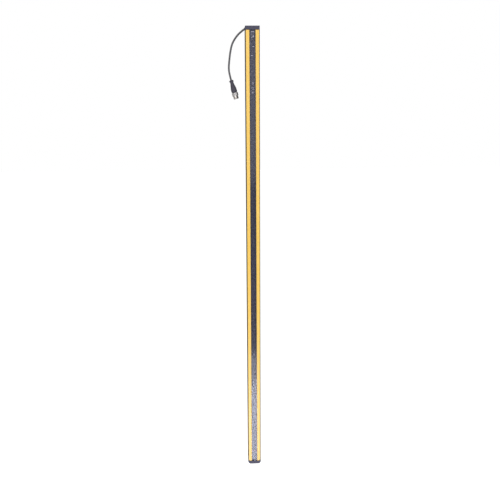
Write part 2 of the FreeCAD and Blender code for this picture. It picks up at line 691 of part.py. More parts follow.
def cap_screws(name, seat, down):
    """An end's two pan-head socket screws; down is the way from the heads to the housing."""
    screws = []
    for number, (x, y) in enumerate(SCREW_PLACES):
        item = "%s_%d" % (name, number)
        head_foot = seat if down < 0 else "%s - Dim.head_tall" % seat
        shank_foot = seat if down > 0 else "%s - Dim.shank_long" % seat
        socket_foot = {-1: "%s + Dim.head_tall - Dim.socket_deep" % seat, 1: head_foot}[down]
        head = rod(item + "_head", "Dim.head_radius", "Dim.head_tall", (x, y, head_foot))
        shank = rod(item + "_shank", "Dim.shank_radius", "Dim.shank_long", (x, y, shank_foot))
        socket = doc.addObject("Part::Prism", item + "_socket")
        socket.Polygon = 6
        tie(socket, Circumradius="Dim.socket_flats / sqrt(3)", Height="Dim.socket_deep",
            place_x=x, place_y=y, place_z=socket_foot)
        screws.append(cut(item, fuse(item + "_blank", [head, shank]), [socket]))
    return group(name, screws)


# Cable ---------------------------------------------------------------------------------

exit_place, exit_out = exit_frame(-dim("exit_stand"))
EXIT_POINT = exit_place.Base

# Route of the cable from its exit, chosen by hand: along the exit axis, down beside the stick,
# then into the plug. The exit is 526.256 mm above the middle of the stick at its own length.
FIRST_RUN = 12.6
BEND_SHARE = 0.45  # of the shorter of two runs, taken by the arc between them
CABLE_STEPS = [
    exit_out * FIRST_RUN,
    Vector(-19.7, 0.2, -17.4),
    Vector(-28.1, 0.7, -30.9),
    Vector(-32.1, 1.3, -47.7),
    Vector(-34.6, 1.8, -66.8),
    Vector(-36.2, 2.1, -82.9),
    Vector(-34.4, 2.0, -96.2),
    Vector(-30.9, 1.7, -108.7),
]
ROUTE = [EXIT_POINT] + [EXIT_POINT + step for step in CABLE_STEPS]
PLUG_START = ROUTE[-1]
PLUG_WAY = (ROUTE[-1] - ROUTE[-2]).normalize()
PLUG_PLACE = Placement(PLUG_START, Rotation(Vector(0, 0, 1), PLUG_WAY))


def cable():
    """Straight runs joined by tangent arcs, each as large as its two runs allow."""
    edges, here = [], ROUTE[0]
    for before, corner, after in zip(ROUTE, ROUTE[1:], ROUTE[2:]):
        into = (corner - before).normalize()
        away = (after - corner).normalize()
        turn = into.getAngle(away)
        reach = BEND_SHARE * min((corner - before).Length, (after - corner).Length)
        radius = reach / math.tan(turn / 2)
        print("cable bend: turn %.1f deg, radius %.1f mm" % (math.degrees(turn), radius))
        start, stop = corner - into * reach, corner + away * reach
        inward = (away - into).normalize()
        middle = corner + inward * (radius / math.cos(turn / 2) - radius)
        edges += [Part.LineSegment(here, start).toShape(), Part.Arc(start, middle, stop).toShape()]
        here = stop
    edges.append(Part.LineSegment(here, ROUTE[-1]).toShape())
    path = Part.Wire(edges)
    radius = dim("cable_width") / 2
    ring = Part.Face(Part.Wire(Part.Circle(ROUTE[0], ROUTE[1] - ROUTE[0], radius).toShape()))
    tube = path.makePipe(ring)
    expected = math.pi * radius ** 2 * path.Length
    print("cable length %.1f mm, volume %.4f of section times length" % (path.Length, tube.Volume / expected))
    if abs(tube.Volume / expected - 1) > 0.01:
        raise RuntimeError("the cable's volume is wrong")
    item = doc.addObject("Part::Feature", "cable")
    item.Shape = tube
    return item


def cable_grommet():
    """The bush that holds the cable in the cap's side."""
    bush = doc.addObject("Part::Cylinder", "cable_grommet")
    tie(bush, Radius=BUSH_RADIUS, Height="Dim.exit_deep + Dim.exit_stand")
    bush.Placement = exit_frame(dim("exit_deep"))[0]
    return bush


# Plug, drawn along its own Z from the cable end ------------------------------------------

def turned(name, corners):
    """A body of revolution about Z from (radius, height) corners; placed on the plug's axis."""
    body = doc.addObject("PartDesign::Body", name)
    sketch = sketch_on(body, name + "_half", "XZ_Plane")
    outline(sketch, corners)
    feature = body.newObject("PartDesign::Revolution", name + "_turned")
    feature.Profile = sketch
    feature.ReferenceAxis = (sketch, ["V_Axis"])
    feature.Angle = 360
    doc.recompute()
    body.Placement = PLUG_PLACE
    return body


FLANGE_RADIUS = "(Dim.insert_radius + Dim.flange_step)"
NOSE_RADIUS = "(Dim.insert_radius - Dim.nose_step)"
STEM_FOOT = "(Dim.grip_long - Dim.insert_seat)"
NUT_FOOT = "(Dim.grip_long + Dim.nut_gap)"
FLANGE_FOOT = "(%s + Dim.nut_collar + Dim.nut_gap)" % NUT_FOOT
NOSE_FOOT = "(%s + Dim.flange_tall)" % FLANGE_FOOT
NOSE_FACE = "(%s + Dim.nose_tall)" % NOSE_FOOT


def connector_grip():
    """The moulded grip: collar round the cable, waist, flare and rounded shoulder."""
    long = "Dim.grip_long"
    hollow = "(Dim.insert_radius + Dim.fit_gap)"
    collar = "(Dim.cable_width / 2 + Dim.collar_wall)"
    waist = "(Dim.cable_width / 2 + Dim.waist_wall)"
    waist_foot = "(Dim.collar_long + Dim.collar_slope)"
    return turned("connector_grip", [
        ("0", "0"), (collar, "0"), (collar, "Dim.collar_long"),
        (waist, waist_foot), (waist, "%s + Dim.waist_long" % waist_foot),
        ("Dim.grip_radius", "%s - Dim.grip_full" % long), ("Dim.grip_radius", "%s - Dim.grip_end" % long),
        ("Dim.grip_radius - Dim.grip_bevel", long), (hollow, long), (hollow, STEM_FOOT), ("0", STEM_FOOT),
    ])


def connector_insert():
    """Stem that sits in the grip, flange that keeps the nut, and nose with the pin holes."""
    stem, flange, nose = "Dim.insert_radius", FLANGE_RADIUS, NOSE_RADIUS
    body = turned("connector_insert", [
        ("0", STEM_FOOT), (stem, STEM_FOOT), (stem, FLANGE_FOOT), (flange, FLANGE_FOOT),
        (flange, NOSE_FOOT), (nose, NOSE_FOOT), (nose, NOSE_FACE), ("0", NOSE_FACE),
    ])
    holes = sketch_on(body, "insert_holes", "XY_Plane")
    holes.setExpression("AttachmentOffset.Base.z", "%s - Dim.pin_root" % NOSE_FACE)
    for x, y in pin_places():
        round_hole(holes, x, y, "Dim.pin_radius + Dim.fit_gap")
    pocket(body, holes, "Dim.pin_root", reverse=True)
    key = sketch_on(body, "insert_key", "XY_Plane")
    key.setExpression("AttachmentOffset.Base.z", NOSE_FACE)
    half = "Dim.key_width / 2"
    outer = "(%s - Dim.key_inset)" % NOSE_RADIUS
    inner = "(%s - Dim.key_deep)" % outer
    outline(key, [("-" + half, inner), (half, inner), (half, outer), ("-" + half, outer)])
    pad(body, key, "Dim.key_long")
    return body


def pin_places():
    """Centres of the pins: the middle one and the circle, turned half a step from the key."""
    places = [("0", "0")]
    for number in range(int(dim("pin_count"))):
        angle = "((%d + 0.5) * 360 / Dim.pin_count)" % number
        places.append(("Dim.pin_circle * cos(%s)" % angle, "Dim.pin_circle * sin(%s)" % angle))
    return places


def contact_pins():
    """Plain round pins, each a solid of its own."""
    foot = "%s - Dim.pin_root" % NOSE_FACE
    parts = []
    for number, (x, y) in enumerate(pin_places()):
        parts.append(rod("pin_%d" % number, "Dim.pin_radius", "Dim.pin_root + Dim.pin_stand", (x, y, foot)))
    pins = group("contact_pins", parts)
    pins.Placement = PLUG_PLACE
    return pins


def sealing_ring():
    """The ring in the corner between flange and nose."""
    outer, top = "(%s + Dim.ring_section)" % NOSE_RADIUS, "(%s + Dim.ring_section)" % NOSE_FOOT
    corners = [(NOSE_RADIUS, NOSE_FOOT), (outer, NOSE_FOOT), (outer, top), (NOSE_RADIUS, top)]
    return turned("sealing_ring", corners)


def coupling_nut():
    """Knurled ring and threaded sleeve in one piece, free to turn on the insert's stem."""
    inner = "(Dim.insert_radius + Dim.nut_fit)"
    collar_top = "(%s + Dim.nut_collar)" % NUT_FOOT
    ring_top = "(%s + Dim.nut_ring)" % NUT_FOOT
    end = "(%s + Dim.nut_long)" % NUT_FOOT
    bore = "(%s + Dim.sleeve_gap)" % FLANGE_RADIUS
    body = turned("coupling_nut", [
        (inner, NUT_FOOT), ("Dim.nut_radius", NUT_FOOT), ("Dim.nut_radius", "%s - Dim.nut_bevel" % ring_top),
        ("Dim.nut_radius - Dim.nut_bevel", ring_top), ("Dim.sleeve_radius", ring_top),
        ("Dim.sleeve_radius", "%s - Dim.nut_bevel" % end), ("Dim.sleeve_radius - Dim.nut_bevel", end),
        (bore, end), (bore, collar_top), (inner, collar_top),
    ])
    flute = sketch_on(body, "nut_flute", "XY_Plane")
    flute.setExpression("AttachmentOffset.Base.z", NUT_FOOT)
    floor, outside = "(Dim.nut_radius - Dim.flute_deep)", "(Dim.nut_radius + Dim.cutter_over)"
    slope = "(Dim.flute_wide / 2 * (Dim.cutter_over + Dim.flute_deep) / Dim.flute_deep)"
    outline(flute, [(floor, "0"), (outside, "-" + slope), (outside, slope)])
    first = pocket(body, flute, "Dim.nut_ring", reverse=True)
    pattern = body.newObject("PartDesign::PolarPattern", "nut_flutes")
    pattern.Originals = [first]
    pattern.Axis = (next(f for f in body.Origin.OriginFeatures if f.Role == "Z_Axis"), [""])
    pattern.Angle = 360
    pattern.setExpression("Occurrences", "Dim.flute_count")
    body.Tip = pattern
    doc.recompute()
    return body


# Assembly ------------------------------------------------------------------------------

nodes = [
    housing_profile(),
    front_strip("front_strip_left", "-"),
    front_strip("front_strip_right", ""),
    front_screen(),
    screen_seal("screen_seal_left", "-"),
    screen_seal("screen_seal_right", ""),
]
for number in range(int(dim("modules"))):
    nodes += [optics_block(number), lens_strip(number), circuit_board(number), beam_diodes(number)]
nodes += indicator_part()

nodes += [top_end_cap(), bottom_end_cap()]
nodes.append(gasket("top_gasket", BODY_HALF, TOP_JOINT))
nodes.append(gasket("bottom_gasket", "-" + TOP_JOINT, "-" + BODY_HALF))
nodes.append(cap_screws("top_cap_screws", HEAD_SEAT, -1))
nodes.append(cap_screws("bottom_cap_screws", "-" + HEAD_SEAT, 1))
nodes += [cable_grommet(), cable(), connector_grip(), connector_insert(), contact_pins(), sealing_ring(),
          coupling_nut()]
doc.recompute()

for item in doc.Objects:
    if "Invalid" in item.State or "Error" in item.State:
        raise RuntimeError("%s is in state %s" % (item.Name, item.State))
for node in nodes:
    if node.Shape.isNull() or not node.Shape.isValid():
        raise RuntimeError(node.Label + " has no valid shape")

os.makedirs("parts", exist_ok=True)
for node in nodes:
    node.Shape.exportStep("parts/%s.step" % node.Label)
    print("%-22s %2d solids, %9.1f mm3" % (node.Label, len(node.Shape.Solids), node.Shape.Volume))
print(len(nodes), "nodes")
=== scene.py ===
import json
import math
import bpy
from mathutils import Matrix, Vector


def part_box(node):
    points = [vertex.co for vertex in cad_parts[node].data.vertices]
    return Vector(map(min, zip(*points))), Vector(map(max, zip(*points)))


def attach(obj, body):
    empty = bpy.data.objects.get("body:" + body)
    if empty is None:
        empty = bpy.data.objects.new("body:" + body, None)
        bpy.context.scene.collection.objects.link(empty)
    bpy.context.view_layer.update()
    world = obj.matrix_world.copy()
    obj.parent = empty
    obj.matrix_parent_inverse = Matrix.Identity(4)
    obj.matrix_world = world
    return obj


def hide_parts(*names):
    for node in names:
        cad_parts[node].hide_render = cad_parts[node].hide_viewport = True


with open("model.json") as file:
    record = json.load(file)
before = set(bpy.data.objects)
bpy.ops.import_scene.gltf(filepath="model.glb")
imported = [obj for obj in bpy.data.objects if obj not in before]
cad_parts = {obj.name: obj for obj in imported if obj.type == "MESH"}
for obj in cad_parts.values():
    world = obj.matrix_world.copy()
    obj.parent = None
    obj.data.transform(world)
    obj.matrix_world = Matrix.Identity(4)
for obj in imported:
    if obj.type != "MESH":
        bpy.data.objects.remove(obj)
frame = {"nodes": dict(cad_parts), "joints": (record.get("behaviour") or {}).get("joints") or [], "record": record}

bpy.ops.object.select_all(action="DESELECT")
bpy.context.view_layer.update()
mm = 0.001
weld = 1e-6
identity = Matrix.Identity(4)
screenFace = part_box("front_screen")[0].y
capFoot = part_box("bottom_end_cap")[0].z
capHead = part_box("top_end_cap")[1].z
print("frame loaded, stick from", round(capFoot, 4), "to", round(capHead, 4))

view = {
    "lens": 43.2, "sensor": 36.0,
    "place": (-0.072, -1.4095, 0.345),  # a little to the cable's side and above the middle
    "aim": (-0.0083, -0.0307, 0.0309),
    "roll": -0.36,                     # degrees, the stick leans a little
}


def makeCamera():
    bpy.ops.object.camera_add(location=view["place"])
    camera = bpy.context.object
    camera.name = "frontCamera"
    camera.data.lens = view["lens"]
    camera.data.sensor_width = view["sensor"]
    camera.data.clip_start = 0.02
    camera.data.clip_end = 30
    way = Vector(view["aim"]) - Vector(view["place"])
    turn = way.to_track_quat("-Z", "Y").to_matrix().to_4x4() @ Matrix.Rotation(math.radians(view["roll"]), 4, "Z")
    camera.rotation_euler = turn.to_euler()
    bpy.context.scene.camera = camera


makeCamera()

cable = {
    "diameter": 4.2 * mm,
    "length": 0.1212,
    "exit": (-0.0164915, -0.0155, 0.5262559),
    "route": [                         # the same points as the solid's, in metres
        (-0.0164915, -0.0155, 0.5262559), (-0.0268128, -0.0155, 0.5190288), (-0.0361915, -0.0153, 0.5088559),
        (-0.0445915, -0.0148, 0.4953559), (-0.0485915, -0.0142, 0.4785559), (-0.0510915, -0.0137, 0.4594559),
        (-0.0526915, -0.0134, 0.4433559), (-0.0508915, -0.0135, 0.4300559), (-0.0473915, -0.0138, 0.4175559),
    ],
}


def makeCable():
    bpy.ops.curve.primitive_bezier_curve_add()
    cord = bpy.context.object
    cord.name = cord.data.name = "pigtailCable"
    cord.data.splines.clear()
    spline = cord.data.splines.new("NURBS")
    spline.points.add(len(cable["route"]) - 1)
    for point, place in zip(spline.points, cable["route"]):
        point.co = (*place, 1)
        point.radius = cable["diameter"] / 2
    spline.order_u = 3
    spline.use_endpoint_u = True
    spline.resolution_u = 12
    cord.data.dimensions = "3D"
    cord.data.bevel_depth = 1.0        # times the points' radius
    cord.data.bevel_resolution = 7
    cord.data.use_fill_caps = True
    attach(cord, "curtain")
    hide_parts("cable")
    return cord


pigtail = makeCable()
print("camera and cable")


# small helpers for modelling

def only(piece):
    bpy.ops.object.select_all(action="DESELECT")
    piece.select_set(True)
    bpy.context.view_layer.objects.active = piece


def named(name):
    piece = bpy.context.object
    piece.name = piece.data.name = name
    return piece


def editing(piece, selectMode="VERT"):
    only(piece)
    bpy.ops.object.mode_set(mode="EDIT")
    bpy.ops.mesh.select_mode(type=selectMode)
    bpy.ops.mesh.select_all(action="DESELECT")


def objectMode():
    bpy.ops.object.mode_set(mode="OBJECT")


def pick(piece, kind, test):
    # select vertices, edges or faces by a test on their middle; leaves the piece in edit mode
    objectMode()
    mesh = piece.data
    for group in (mesh.vertices, mesh.edges, mesh.polygons):
        group.foreach_set("select", [False] * len(group))
    if kind == "vertices":
        for vertex in mesh.vertices:
            vertex.select = test(vertex.co)
    elif kind == "edges":
        for edge in mesh.edges:
            edge.select = test((mesh.vertices[edge.vertices[0]].co + mesh.vertices[edge.vertices[1]].co) / 2)
    else:
        for face in mesh.polygons:
            face.select = test(face.center, face.normal)
    bpy.ops.object.mode_set(mode="EDIT")
    bpy.ops.mesh.select_mode(type={"vertices": "VERT", "edges": "EDGE", "faces": "FACE"}[kind])


def applyModifiers(piece):
    only(piece)
    for name in [modifier.name for modifier in piece.modifiers]:
        bpy.ops.object.modifier_apply(modifier=name)


def combine(piece, other, operation):
    joint = piece.modifiers.new(other.name, "BOOLEAN")
    joint.operation = operation
    joint.object = other
    joint.solver = "EXACT"
    applyModifiers(piece)
    bpy.data.objects.remove(other)


def placed(piece, matrix=identity):
    # the place goes into the mesh, and the object stays at the origin
    piece.matrix_world = matrix @ piece.matrix_basis
    only(piece)
    bpy.ops.object.transform_apply(location=True, rotation=True, scale=True)
    return piece


def smooth(piece, degrees=35):
    only(piece)
    bpy.ops.object.shade_smooth_by_angle(angle=math.radians(degrees))


def joined(pieces, name):
    only(pieces[0])
    for piece in pieces[1:]:
        piece.select_set(True)
    bpy.ops.object.join()
    return named(name)


def spun(name, profile, steps, closed=False):
    # a chain of (radius, height) points in millimetres, turned about Z
    bpy.ops.mesh.primitive_plane_add(size=mm, location=(profile[0][0] * mm, 0, profile[0][1] * mm))
    piece = placed(named(name))
    editing(piece)
    bpy.ops.mesh.select_all(action="SELECT")
    bpy.ops.mesh.merge(type="CENTER")
    for before, after in zip(profile, profile[1:]):
        step = ((after[0] - before[0]) * mm, 0, (after[1] - before[1]) * mm)
        bpy.ops.mesh.extrude_vertices_move(TRANSFORM_OT_translate={"value": step})
    bpy.ops.mesh.select_all(action="SELECT")
    if closed:
        bpy.ops.mesh.remove_doubles(threshold=weld)
    bpy.ops.mesh.spin(steps=steps, angle=2 * math.pi, center=(0, 0, 0), axis=(0, 0, 1))
    bpy.ops.mesh.select_all(action="SELECT")
    bpy.ops.mesh.remove_doubles(threshold=weld)
    bpy.ops.mesh.normals_make_consistent(inside=False)
    objectMode()
    return piece


def threadRidge(name, root, crest, pitch, foot, turns, steps):
    # a V profile screwed up the axis, its root sunk a little into the core
    sunk, halfWide = root - 0.05, 0.44 * pitch
    bpy.ops.mesh.primitive_circle_add(vertices=3, radius=pitch * 0.5 * mm, location=(0, 0, 0))
    ridge = named(name)
    corners = [(sunk, -halfWide), (sunk, halfWide), (crest, 0)]
    for vertex, (radius, height) in zip(ridge.data.vertices, corners):
        vertex.co = (radius * mm, 0, (foot + height) * mm)
    screw = ridge.modifiers.new("turns", "SCREW")
    screw.angle = 2 * math.pi
    screw.screw_offset = pitch * mm
    screw.iterations = turns
    screw.steps = screw.render_steps = steps
    screw.use_merge_vertices = False
    screw.use_smooth_shade = False
    applyModifiers(ridge)
    editing(ridge, "EDGE")
    bpy.ops.mesh.select_non_manifold()
    bpy.ops.mesh.edge_face_add()
    bpy.ops.mesh.select_all(action="SELECT")
    bpy.ops.mesh.normals_make_consistent(inside=False)
    objectMode()
    return ridge


def settle(piece, body, slot, *nodes):
    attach(piece, body)
    if nodes:
        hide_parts(*nodes)
    return piece


# shader groups that several finishes share

def addNode(tree, kind, values=None, **settings):
    node = tree.nodes.new(kind)
    for name, value in settings.items():
        setattr(node, name, value)
    for name, value in (values or {}).items():
        node.inputs[name].default_value = value
    return node


def newGroup(name, inputs, outputs):
    tree = bpy.data.node_groups.new(name, "ShaderNodeTree")
    for label, value in inputs:
        socket = tree.interface.new_socket(label, in_out="INPUT", socket_type="NodeSocketFloat")
        socket.default_value = value
    for label in outputs:
        tree.interface.new_socket(label, in_out="OUTPUT", socket_type="NodeSocketFloat")
    return tree, tree.nodes.new("NodeGroupInput"), tree.nodes.new("NodeGroupOutput")


def mouldedGrainGroup():
    # the fine texture of a moulded part: Size is the grain in metres
    tree, come, leave = newGroup("mouldedGrain", [("Size", 0.0004), ("Unevenness", 0.5)], ["Height", "Tone"])
    place = addNode(tree, "ShaderNodeTexCoord")
    times = addNode(tree, "ShaderNodeMath", {0: 1.0}, operation="DIVIDE")
    scaled = addNode(tree, "ShaderNodeVectorMath", operation="SCALE")
    cells = addNode(tree, "ShaderNodeTexVoronoi", {"Scale": 1.0}, feature="SMOOTH_F1")
    blots = addNode(tree, "ShaderNodeTexNoise", {"Scale": 0.35, "Detail": 3.0})
    mix = addNode(tree, "ShaderNodeMix", data_type="FLOAT")
    tree.links.new(come.outputs["Size"], times.inputs[1])
    tree.links.new(place.outputs["Object"], scaled.inputs[0])
    tree.links.new(times.outputs[0], scaled.inputs["Scale"])
    tree.links.new(scaled.outputs[0], cells.inputs["Vector"])
    tree.links.new(scaled.outputs[0], blots.inputs["Vector"])
    tree.links.new(come.outputs["Unevenness"], mix.inputs["Factor"])
    tree.links.new(cells.outputs["Distance"], mix.inputs["A"])
    tree.links.new(blots.outputs["Fac"], mix.inputs["B"])
    tree.links.new(mix.outputs["Result"], leave.inputs["Height"])
    tree.links.new(blots.outputs["Fac"], leave.inputs["Tone"])
    return tree


def drawnLinesGroup():
    # lines that an extrusion die leaves along Z: Spacing and Run in metres
    tree, come, leave = newGroup("drawnLines", [("Spacing", 0.0003), ("Run", 0.12)], ["Height", "Tone"])
    place = addNode(tree, "ShaderNodeTexCoord")
    apart = addNode(tree, "ShaderNodeSeparateXYZ")
    again = addNode(tree, "ShaderNodeCombineXYZ")
    tree.links.new(place.outputs["Object"], apart.inputs[0])
    for axis, size in (("X", "Spacing"), ("Y", "Spacing"), ("Z", "Run")):
        share = addNode(tree, "ShaderNodeMath", operation="DIVIDE")
        tree.links.new(apart.outputs[axis], share.inputs[0])
        tree.links.new(come.outputs[size], share.inputs[1])
        tree.links.new(share.outputs[0], again.inputs[axis])
    lines = addNode(tree, "ShaderNodeTexNoise", {"Scale": 1.0, "Detail": 4.0, "Roughness": 0.62})
    bands = addNode(tree, "ShaderNodeTexNoise", {"Scale": 0.08, "Detail": 2.0})
    tree.links.new(again.outputs[0], lines.inputs["Vector"])
    tree.links.new(again.outputs[0], bands.inputs["Vector"])
    tree.links.new(lines.outputs["Fac"], leave.inputs["Height"])
    tree.links.new(bands.outputs["Fac"], leave.inputs["Tone"])
    return tree


def handlingGroup():
    # faint smudges and dust from use: Size in metres, Amount from 0 to 1
    tree, come, leave = newGroup("handling", [("Size", 0.03), ("Amount", 0.5)], ["Smudge", "Dust"])
    place = addNode(tree, "ShaderNodeTexCoord")
    times = addNode(tree, "ShaderNodeMath", {0: 1.0}, operation="DIVIDE")
    scaled = addNode(tree, "ShaderNodeVectorMath", operation="SCALE")
    clouds = addNode(tree, "ShaderNodeTexNoise", {"Scale": 1.0, "Detail": 5.0, "Roughness": 0.6, "Distortion": 0.4})
    specks = addNode(tree, "ShaderNodeTexNoise", {"Scale": 55.0, "Detail": 2.0})
    ramps = []
    for low, high in ((0.45, 0.75), (0.66, 0.78)):
        ramps.append(addNode(tree, "ShaderNodeMapRange", {"From Min": low, "From Max": high}))
    amounts = [addNode(tree, "ShaderNodeMath", operation="MULTIPLY") for _ in ramps]
    tree.links.new(come.outputs["Size"], times.inputs[1])
    tree.links.new(place.outputs["Object"], scaled.inputs[0])
    tree.links.new(times.outputs[0], scaled.inputs["Scale"])
    for texture, ramp, amount, label in zip((clouds, specks), ramps, amounts, ("Smudge", "Dust")):
        tree.links.new(scaled.outputs[0], texture.inputs["Vector"])
        tree.links.new(texture.outputs["Fac"], ramp.inputs["Value"])
        tree.links.new(ramp.outputs["Result"], amount.inputs[0])
        tree.links.new(come.outputs["Amount"], amount.inputs[1])
        tree.links.new(amount.outputs[0], leave.inputs[label])
    return tree


groups = {"grain": mouldedGrainGroup(), "lines": drawnLinesGroup(), "handling": handlingGroup()}
print("shader groups")


def newMaterial(name, color, roughness, **plain):
    material = bpy.data.materials.new(name)
    material.use_nodes = True
    shader = material.node_tree.nodes["Principled BSDF"]
    shader.inputs["Base Color"].default_value = (*color, 1)
    shader.inputs["Roughness"].default_value = roughness
    for socket, value in plain.items():
        shader.inputs[socket.replace("_", " ")].default_value = value
    return material, material.node_tree, shader


def useGroup(tree, key, values):
    return addNode(tree, "ShaderNodeGroup", values, node_tree=groups[key])


def vary(tree, source, low, high, target):
    # a mask moved into a range and fed to a socket
    ramp = addNode(tree, "ShaderNodeMapRange", {"To Min": low, "To Max": high})
    tree.links.new(source, ramp.inputs["Value"])
    tree.links.new(ramp.outputs["Result"], target)


def tint(tree, source, colorA, colorB, target):
    mix = addNode(tree, "ShaderNodeMix", data_type="RGBA")
    mix.inputs["A"].default_value = (*colorA, 1)
    mix.inputs["B"].default_value = (*colorB, 1)
    tree.links.new(source, mix.inputs["Factor"])
    tree.links.new(mix.outputs["Result"], target)


def raised(tree, source, strength, distance, shader):
    bump = addNode(tree, "ShaderNodeBump", {"Strength": strength, "Distance": distance})
    tree.links.new(source, bump.inputs["Height"])
    tree.links.new(bump.outputs["Normal"], shader.inputs["Normal"])


finishes = {
    "cap": {"dark": (0.046, 0.043, 0.074), "light": (0.066, 0.063, 0.096), "grain": 0.0005},
    "grip": {"dark": (0.048, 0.044, 0.062), "light": (0.072, 0.067, 0.086), "grain": 0.0004},
    "cable": {"dark": (0.085, 0.083, 0.088), "light": (0.125, 0.122, 0.126), "grain": 0.0003},
    "bush": {"dark": (0.030, 0.030, 0.034), "light": (0.050, 0.050, 0.056), "grain": 0.0003},
    "seal": {"dark": (0.020, 0.020, 0.022), "light": (0.035, 0.035, 0.037), "grain": 0.0003},
    "optics": {"dark": (0.018, 0.018, 0.022), "light": (0.032, 0.032, 0.038), "grain": 0.0004},
    "insert": {"dark": (0.025, 0.025, 0.027), "light": (0.045, 0.045, 0.048), "grain": 0.0003},
    "header": {"dark": (0.70, 0.67, 0.60), "light": (0.80, 0.78, 0.71), "grain": 0.0003},
    "print": {"dark": (0.36, 0.35, 0.42), "light": (0.46, 0.45, 0.52), "grain": 0.0006},
    "footLine": {"dark": (0.36, 0.24, 0.32), "light": (0.42, 0.29, 0.38), "grain": 0.0006},
}


def grained(name, roughLow, roughHigh, strength):
    colors = finishes[name]
    material, tree, shader = newMaterial(name + "Finish", colors["dark"], roughLow)
    grain = useGroup(tree, "grain", {"Size": colors["grain"], "Unevenness": 0.4})
    marks = useGroup(tree, "handling", {"Size": 0.02, "Amount": 0.8})
    tint(tree, grain.outputs["Tone"], colors["dark"], colors["light"], shader.inputs["Base Color"])
    vary(tree, marks.outputs["Smudge"], roughHigh, roughLow, shader.inputs["Roughness"])
    raised(tree, grain.outputs["Height"], strength, 0.00006, shader)
    return material


# the housing's dark anodised colour is partly painted shade: it is kept this dark so that the bar's side edges read
# as shaded
def darkHousingWithPaintedEdgeShade():
    material, tree, shader = newMaterial("housingDarkWithPaintedEdgeShade", (0.025, 0.024, 0.024), 0.50, Specular_IOR_Level=0.35)
    lines = useGroup(tree, "lines", {"Spacing": 0.00028, "Run": 0.14})
    marks = useGroup(tree, "handling", {"Size": 0.05, "Amount": 0.7})
    # dark range that also carries the painted edge shade; the die-line bands vary it at random
    tint(tree, lines.outputs["Tone"], (0.020, 0.019, 0.018), (0.036, 0.034, 0.032), shader.inputs["Base Color"])
    vary(tree, marks.outputs["Smudge"], 0.36, 0.52, shader.inputs["Roughness"])
    raised(tree, lines.outputs["Height"], 0.25, 0.00004, shader)
    return material


def safetyYellow():
    material, tree, shader = newMaterial("stripFinish", (0.94, 0.60, 0.14), 0.34)
    peel = useGroup(tree, "grain", {"Size": 0.0016, "Unevenness": 0.85})
    marks = useGroup(tree, "handling", {"Size": 0.035, "Amount": 1.0})
    tint(tree, marks.outputs["Smudge"], (0.93, 0.590, 0.110), (0.95, 0.625, 0.145), shader.inputs["Base Color"])
    vary(tree, marks.outputs["Smudge"], 0.28, 0.42, shader.inputs["Roughness"])
    raised(tree, peel.outputs["Height"], 0.15, 0.00003, shader)
    return material


def smokeScreen():
    material, tree, shader = newMaterial("screenFinish", (0.035, 0.037, 0.075), 0.08, Alpha=0.45,
                                         Specular_IOR_Level=0.75)
    marks = useGroup(tree, "handling", {"Size": 0.04, "Amount": 1.0})
    tint(tree, marks.outputs["Smudge"], (0.032, 0.033, 0.068), (0.044, 0.045, 0.084), shader.inputs["Base Color"])
    vary(tree, marks.outputs["Smudge"], 0.10, 0.13, shader.inputs["Roughness"])
    return material


def clearMoulding(name, color, alpha, roughness):
    material, tree, shader = newMaterial(name, color, roughness, Alpha=alpha)
    marks = useGroup(tree, "handling", {"Size": 0.01, "Amount": 0.6})
    vary(tree, marks.outputs["Smudge"], roughness, roughness + 0.1, shader.inputs["Roughness"])
    return material


def bareMetal(name, color, roughness, spacing):
    material, tree, shader = newMaterial(name, color, roughness, Metallic=1.0)
    scratch = useGroup(tree, "grain", {"Size": spacing, "Unevenness": 0.6})
    marks = useGroup(tree, "handling", {"Size": 0.006, "Amount": 1.0})
    dull = tuple(channel * 0.72 for channel in color)
    tint(tree, marks.outputs["Smudge"], color, dull, shader.inputs["Base Color"])
    vary(tree, marks.outputs["Smudge"], roughness, roughness + 0.16, shader.inputs["Roughness"])
    raised(tree, scratch.outputs["Height"], 0.1, 0.00002, shader)
    return material


def solderMask():
    material, tree, shader = newMaterial("boardFinish", (0.02, 0.12, 0.06), 0.35)
    place = addNode(tree, "ShaderNodeTexCoord")
    copper = addNode(tree, "ShaderNodeTexBrick", {"Scale": 420.0, "Mortar Size": 0.06}, offset=0.5)
    copper.inputs["Color1"].default_value = (0.018, 0.11, 0.055, 1)
    copper.inputs["Color2"].default_value = (0.025, 0.15, 0.075, 1)
    copper.inputs["Mortar"].default_value = (0.05, 0.22, 0.10, 1)
    tree.links.new(place.outputs["Object"], copper.inputs["Vector"])
    tree.links.new(copper.outputs["Color"], shader.inputs["Base Color"])
    return material


materials = {
    "housing": darkHousingWithPaintedEdgeShade(),
    "strip": safetyYellow(),
    "screen": smokeScreen(),
    "seal": grained("seal", 0.55, 0.75, 0.3),
    "cap": grained("cap", 0.42, 0.60, 0.5),
    "screw": bareMetal("screwFinish", (0.55, 0.55, 0.57), 0.32, 0.0006),
    "optics": grained("optics", 0.50, 0.70, 0.4),
    "lens": clearMoulding("lensFinish", (0.55, 0.55, 0.60), 0.35, 0.08),
    "board": solderMask(),
    "diode": clearMoulding("diodeFinish", (0.30, 0.28, 0.33), 0.85, 0.12),
    "guide": clearMoulding("guideFinish", (0.75, 0.75, 0.78), 0.9, 0.35),
    "header": grained("header", 0.40, 0.55, 0.2),
    "print": grained("print", 0.55, 0.70, 0.1),
    "footLine": grained("footLine", 0.45, 0.60, 0.1),
    "bush": grained("bush", 0.55, 0.70, 0.3),
    "cable": grained("cable", 0.45, 0.62, 0.3),
    "grip": grained("grip", 0.48, 0.66, 0.45),
    "insert": grained("insert", 0.40, 0.55, 0.2),
    "pin": bareMetal("pinFinish", (0.85, 0.66, 0.30), 0.20, 0.0005),
    "nut": bareMetal("nutFinish", (0.82, 0.79, 0.76), 0.26, 0.0007),
}

